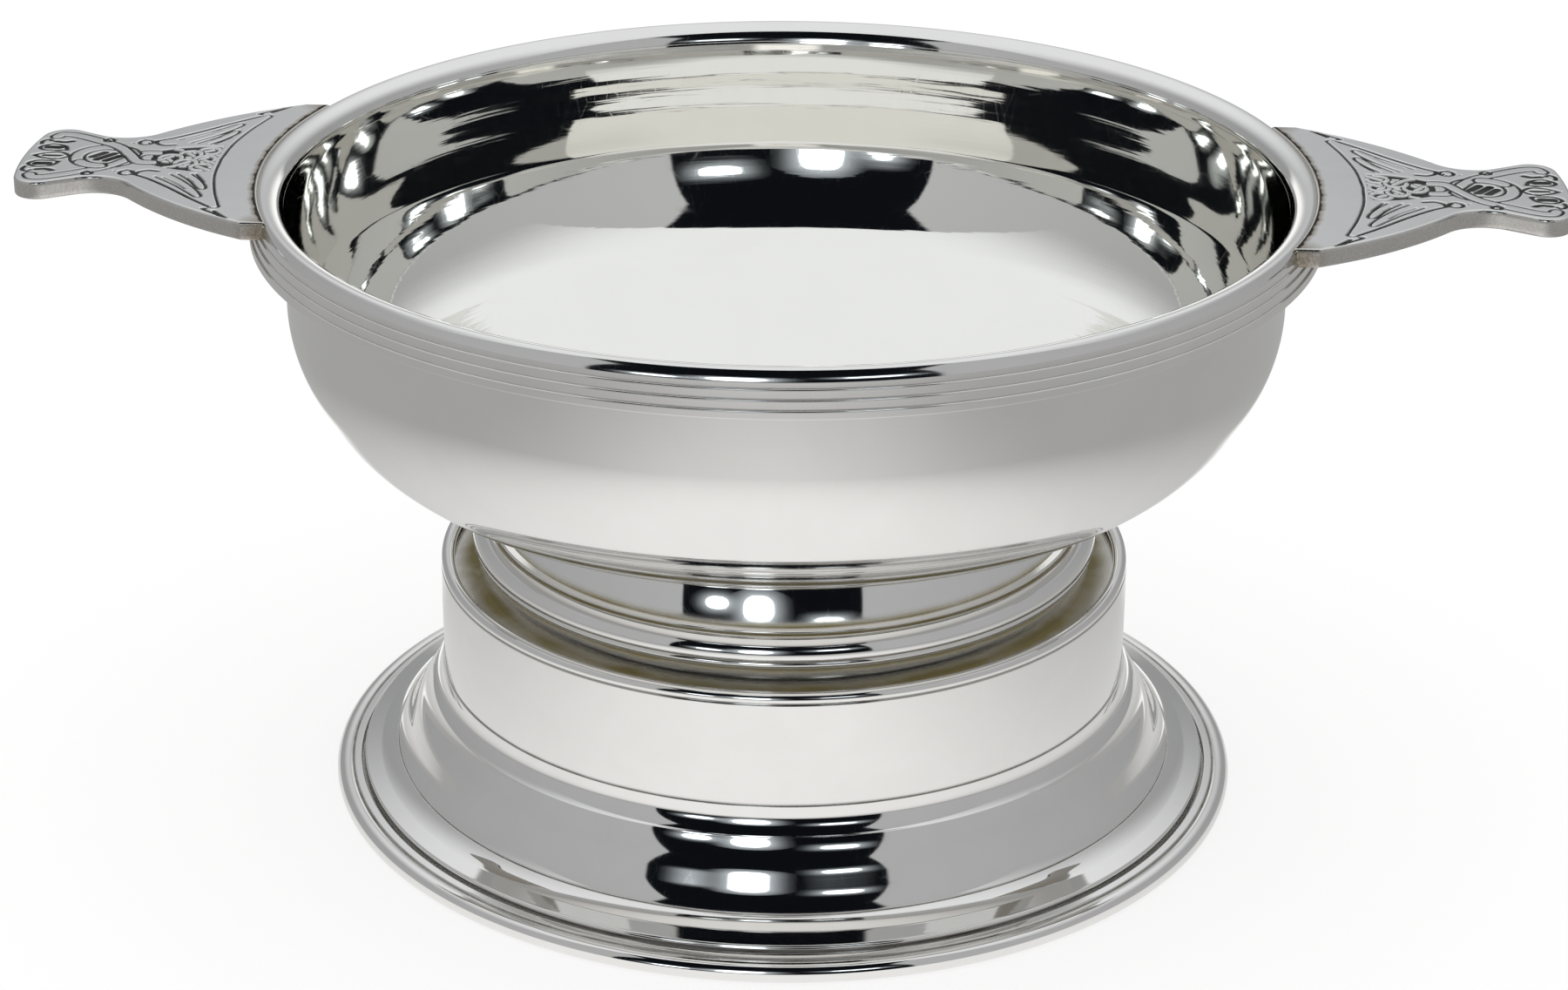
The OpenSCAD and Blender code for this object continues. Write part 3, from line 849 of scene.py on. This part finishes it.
def castPewter(name, look):
    material, tree = newMaterial(name)
    place = placeInMm(tree)
    cloud = noise(tree, place, look["cloudScale"], 4.0)
    grain = noise(tree, place, look["grainScale"], 3.0)
    wave = noise(tree, place, look["waveScale"], 1.0)
    metal = mixColour(tree, cloud, look["colour"], look["shade"])
    patchy = remap(tree, grain, *look["stainBreak"])
    stain = mathNode(tree, "MULTIPLY", reading(tree, "stain"), patchy, clamp=True)
    stained = mixColour(tree, stain, metal, look["stain"])
    worn = remap(tree, cloud, *look["wornBreak"])
    patinaAndRootShadow = mathNode(tree, "MULTIPLY", reading(tree, "engraved"), worn, clamp=True)
    colour = mixColour(tree, patinaAndRootShadow, stained, look["patinaAndRootShadow"])
    gloss = remap(tree, grain, *look["glossBreak"], look["gloss"], look["hazeGloss"])
    rougher = mathNode(tree, "MULTIPLY_ADD", stain, look["stainRough"], gloss)
    rough = mathNode(tree, "MULTIPLY_ADD", patinaAndRootShadow, look["patinaRough"], rougher, clamp=True)
    waveBump = bump(tree, wave, look["waveDepth"])
    metalShader(tree, colour, patinaAndRootShadow, rough, bump(tree, grain, look["grainDepth"], waveBump))
    return material


handleMetal = castPewter("handleMetal", castLook)
castHandle("handleRight", "handle_right", False, handleMetal)
castHandle("handleLeft", "handle_left", True, handleMetal)


# the camera stands where the photograph was taken from
view = {"place": (38.9, -666.47, 354.29), "ahead": (-0.06803, 0.91118, -0.40634), "lens": 85.643,
        "sensor": 36.0, "shiftX": 0.03534, "nearest": 0.01}
cameraData = bpy.data.cameras.new("photoCamera")
cameraData.lens = view["lens"]
cameraData.sensor_width = view["sensor"]
cameraData.sensor_fit = "HORIZONTAL"
cameraData.shift_x = view["shiftX"]
cameraData.clip_start = view["nearest"]
camera = bpy.data.objects.new("photoCamera", cameraData)
camera.location = Vector(view["place"]) * mm
camera.rotation_euler = Vector(view["ahead"]).to_track_quat("-Z", "Y").to_euler()
scene.collection.objects.link(camera)
scene.camera = camera
scene.view_settings.view_transform = "Standard"
print("camera set")


def stageObject(name, verts, faces, material):
    mesh = bpy.data.meshes.new(name)
    mesh.from_pydata(verts, [], faces)
    mesh.materials.append(material)
    thing = bpy.data.objects.new(name, mesh)
    scene.collection.objects.link(thing)
    return thing


# tent and lamps show in the metal alone and throw no light or shadow of their own
def onlyInMetal(thing):
    thing.visible_camera = False
    thing.visible_diffuse = False
    thing.visible_shadow = False
    thing.visible_transmission = False


# the studio is turned a little against the object; the world's level is what lights the table
studio = {"level": 0.9, "turn": math.radians(3.25)}
world = bpy.data.worlds.new("studioWorld")
scene.world = world
world.use_nodes = True
worldTree = world.node_tree
worldTree.nodes.clear()
rays = put(worldTree, "ShaderNodeLightPath")
seen = mathNode(worldTree, "MAXIMUM", (rays, "Is Camera Ray"), (rays, "Is Glossy Ray"))
seen = mathNode(worldTree, "MAXIMUM", seen, (rays, "Is Transmission Ray"))
level = remap(worldTree, seen, 0.0, 1.0, studio["level"], 1.0)
sky = put(worldTree, "ShaderNodeBackground", {"Color": (1, 1, 1, 1), "Strength": level})
put(worldTree, "ShaderNodeOutputWorld", {"Surface": (sky, "Background")})


# pale table: white to the eye; in the metal it shows a painted pool of light, brightest in front of the
# cup, and painted shade, greyer towards the sides
table = {"half": 1.6, "matt": 0.42, "mattInMetal": 0.05, "lift": 0.66, "brightSpot": (-0.012, -0.14),
         "brightReach": (0.03, 0.33), "spread": (1.12, 0.85), "far": 0.38, "near": 0.94,
         "stripHalf": 0.15, "stripSoft": 0.01, "stripFrom": 0.06, "stripFade": 0.05, "strip": 1.1}
tablePaint, tree = newMaterial("studioTable")
tableX, tableY = placeXyz(tree)[:2]
offX = mathNode(tree, "SUBTRACT", tableX, table["brightSpot"][0])
offY = mathNode(tree, "SUBTRACT", tableY, table["brightSpot"][1])
sideReach = mathNode(tree, "MULTIPLY", offX, table["spread"][0])
frontReach = mathNode(tree, "MULTIPLY", offY, table["spread"][1])
fromSpot = reachOf(tree, sideReach, frontReach)
# painted pool of light: near at its middle, fading to painted shade (far) away from it
glow = remap(tree, fromSpot, *table["brightReach"], table["near"], table["far"],
             interpolation_type="SMOOTHSTEP")
sideways = mathNode(tree, "ABSOLUTE", tableX)
# a painted bright strip on the table behind the cup, seen in the metal alone
inStrip = softStep(tree, sideways, table["stripHalf"] + table["stripSoft"],
                   table["stripHalf"] - table["stripSoft"])
behind = softStep(tree, tableY, table["stripFrom"], table["stripFrom"] + table["stripFade"])
strip = mathNode(tree, "MULTIPLY", inStrip, behind)
inMetal = put(tree, "ShaderNodeMix", {0: strip, 2: glow, 3: table["strip"]}, data_type="FLOAT")
rays = put(tree, "ShaderNodeLightPath")
inMirror = mathNode(tree, "MAXIMUM", (rays, "Is Glossy Ray"), (rays, "Is Transmission Ray"))
shown = mathNode(tree, "MULTIPLY", (rays, "Is Camera Ray"), table["lift"])
shown = mathNode(tree, "MULTIPLY_ADD", inMirror, (inMetal, 0), shown)
tableGlow = put(tree, "ShaderNodeEmission", {"Strength": shown})
mattLevel = remap(tree, inMirror, 0.0, 1.0, table["matt"], table["mattInMetal"])
mattColour = put(tree, "ShaderNodeCombineColor", {0: mattLevel, 1: mattLevel, 2: mattLevel})
tableMatt = put(tree, "ShaderNodeBsdfDiffuse", {"Color": (mattColour, "Color")})
tableBoth = put(tree, "ShaderNodeAddShader", {0: (tableMatt, "BSDF"), 1: (tableGlow, "Emission")})
put(tree, "ShaderNodeOutputMaterial", {"Surface": (tableBoth, "Shader")})
h = table["half"]
tableTop = stageObject("studioTable", [(-h, -h, 0), (h, -h, 0), (h, h, 0), (-h, h, 0)],
                       [(0, 1, 2, 3)], tablePaint)
tableTop.rotation_euler.z = studio["turn"]

# light tent: white top and back, grey sides, a dark opening towards the camera;
# lengths are shares of its radius, turns in degrees, sides (way round from front to back, grey)
tent = {"radius": 1.0, "round": 96, "rows": 32, "openLeft": 38.0, "openRight": 30.0,
        "openSoft": 0.012, "roofFront": 0.335, "roofSkew": 0.03, "roofSoft": 0.004,
        "gapLeft": -0.42, "gapRight": 0.35, "gapFrom": 0.62, "gapSoft": 0.02,
        "sides": ((0.1, 0.50), (0.5, 0.45), (0.8, 0.40), (0.95, 0.36)),
        "tint": (0.965, 0.985, 1.0), "topFrom": 30.0, "topTo": 75.0, "backLift": 0.28,
        "top": (0.88, 0.90, 0.915), "backHalf": 15.0, "backTop": 19.0, "backSoft": 0.015,
        "backFade": 0.1, "back": (1.12, 1.12, 1.12), "dark": (0.004, 0.005, 0.007)}
tentPaint, tree = newMaterial("studioTent")
tentX, tentY, tentZ = placeXyz(tree)
flatReach = reachOf(tree, tentX, tentY)
toBack = mathNode(tree, "DIVIDE", tentY, flatReach)
ahead = mathNode(tree, "MULTIPLY", tentY, -1.0)
slope = mathNode(tree, "DIVIDE", tentX, ahead)
openLow = within(tree, slope, -math.tan(math.radians(tent["openLeft"])),
                 math.tan(math.radians(tent["openRight"])), tent["openSoft"])
gap = within(tree, tentX, tent["gapLeft"], tent["gapRight"], tent["openSoft"])
gapHigh = softStep(tree, tentZ, tent["gapFrom"] - tent["gapSoft"], tent["gapFrom"] + tent["gapSoft"])
openShape = mathNode(tree, "MAXIMUM", openLow, mathNode(tree, "MULTIPLY", gap, gapHigh))
inFront = softStep(tree, tentY, 0.0, -tent["gapSoft"])
roof = mathNode(tree, "MULTIPLY_ADD", tentX, tent["roofSkew"], tentY)
roofEdge = mathNode(tree, "MULTIPLY_ADD", tentZ, tent["roofFront"], roof)
underTop = softStep(tree, roofEdge, tent["roofSoft"], -tent["roofSoft"])
opening = mathNode(tree, "MULTIPLY", mathNode(tree, "MULTIPLY", openShape, inFront), underTop)
sides = put(tree, "ShaderNodeValToRGB", {"Fac": remap(tree, toBack, -1.0, 1.0)})
while len(sides.color_ramp.elements) < len(tent["sides"]):
    sides.color_ramp.elements.new(0.5)
for element, (place, grey) in zip(sides.color_ramp.elements, tent["sides"]):
    element.position = place
    element.color = [grey * part for part in tent["tint"]] + [1]
# the white roof comes lower at the back and ends in a straight front edge
backward = mathNode(tree, "MAXIMUM", toBack, 0.0)
backSquare = mathNode(tree, "MULTIPLY", backward, backward)
lowered = mathNode(tree, "MULTIPLY_ADD", backSquare, tent["backLift"], tentZ)
overTop = softStep(tree, lowered, math.sin(math.radians(tent["topFrom"])),
                   math.sin(math.radians(tent["topTo"])))
behindEdge = mathNode(tree, "SUBTRACT", 1.0, underTop)
overhead = mathNode(tree, "MULTIPLY", overTop, behindEdge)
walls = mixColour(tree, overhead, (sides, "Color"), tent["top"])
backEdge = math.cos(math.radians(tent["backHalf"]))
backWide = softStep(tree, toBack, backEdge - tent["backSoft"], backEdge + tent["backSoft"])
backTop = math.sin(math.radians(tent["backTop"]))
backLow = softStep(tree, tentZ, backTop + tent["backFade"], backTop - tent["backFade"])
whole = mixColour(tree, mathNode(tree, "MULTIPLY", backWide, backLow), walls, tent["back"])
tentGlow = put(tree, "ShaderNodeEmission", {"Color": mixColour(tree, opening, whole, tent["dark"])})
put(tree, "ShaderNodeOutputMaterial", {"Surface": (tentGlow, "Emission")})
tentVerts, tentFaces = [], []
for j in range(tent["rows"] + 1):
    rise = math.radians(90 * j / tent["rows"])
    for i in range(tent["round"]):
        t = 2 * math.pi * i / tent["round"]
        tentVerts.append((tent["radius"] * math.cos(rise) * math.cos(t),
                          tent["radius"] * math.cos(rise) * math.sin(t),
                          tent["radius"] * math.sin(rise)))
for j in range(tent["rows"]):
    low, high = j * tent["round"], (j + 1) * tent["round"]
    for i in range(tent["round"]):
        k = (i + 1) % tent["round"]
        tentFaces.append((low + i, low + k, high + k, high + i))
tentShell = stageObject("studioTent", tentVerts, tentFaces, tentPaint)
tentShell.rotation_euler.z = studio["turn"]
onlyInMetal(tentShell)

# lamps in the opening: compass angle from the camera's side, height angle, width and height
# in degrees, and how square they are; a soft glow surrounds each
lamps = {
    "leftLamp": {"turn": -24.7, "rise": 12.6, "wide": 9.0, "high": 9.0, "power": 2.6, "square": 2.2},
    "tallLamp": {"turn": -9.0, "rise": 15.5, "wide": 11.5, "high": 18.5, "power": 3.0, "square": 2.6},
    "rightLamp": {"turn": 17.5, "rise": 24.5, "wide": 11.0, "high": 7.0, "power": 2.4, "square": 3.2},
}
lampRig = {"distance": 0.97, "points": 48, "rings": (0.5, 0.9, 1.0, 1.15, 1.35, 1.6, 1.9, 2.3),
           "glow": 0.12, "colour": (0.86, 0.94, 1.0)}


def lampPaint(name, power):
    material, tree = newMaterial(name)
    strength = mathNode(tree, "MULTIPLY", reading(tree, "fade"), power)
    glow = put(tree, "ShaderNodeEmission", {"Color": lampRig["colour"] + (1,), "Strength": strength})
    clear = put(tree, "ShaderNodeBsdfTransparent")
    both = put(tree, "ShaderNodeAddShader", {0: (glow, "Emission"), 1: (clear, "BSDF")})
    put(tree, "ShaderNodeOutputMaterial", {"Surface": (both, "Shader")})
    return material


def squared(value, power):
    return math.copysign(abs(value) ** power, value)


for name, lamp in lamps.items():
    turn, rise = math.radians(lamp["turn"]) + studio["turn"], math.radians(lamp["rise"])
    toLamp = Vector((math.sin(turn) * math.cos(rise), -math.cos(turn) * math.cos(rise), math.sin(rise)))
    sideWay = Vector((math.cos(turn), math.sin(turn), 0))
    upWay = toLamp.cross(sideWay)
    if upWay.z < 0:
        upWay.negate()
    points, rings = lampRig["points"], lampRig["rings"]
    lampVerts, lampFades = [tuple(toLamp * lampRig["distance"])], [1.0]
    for reach in rings:
        wide = reach * math.tan(math.radians(lamp["wide"] / 2))
        high = reach * math.tan(math.radians(lamp["high"] / 2))
        for i in range(points):
            t = 2 * math.pi * i / points
            across = squared(math.cos(t), 2 / lamp["square"]) * wide
            upward = squared(math.sin(t), 2 / lamp["square"]) * high
            spot = toLamp + sideWay * across + upWay * upward
            lampVerts.append(tuple(spot * lampRig["distance"]))
            lampFades.append(1.0 if reach < 1 else lampRig["glow"] * (rings[-1] - reach) ** 2)
    lampFaces = []
    for i in range(points):
        k = (i + 1) % points
        lampFaces.append((0, 1 + i, 1 + k))
        for j in range(len(rings) - 1):
            near, far = 1 + j * points, 1 + (j + 1) * points
            lampFaces.append((near + i, far + i, far + k, near + k))
    lampCard = stageObject(name, lampVerts, lampFaces, lampPaint(name, lamp["power"]))
    lampCard.data.attributes.new("fade", "FLOAT", "POINT").data.foreach_set("value", lampFades)
    onlyInMetal(lampCard)
print("studio set")
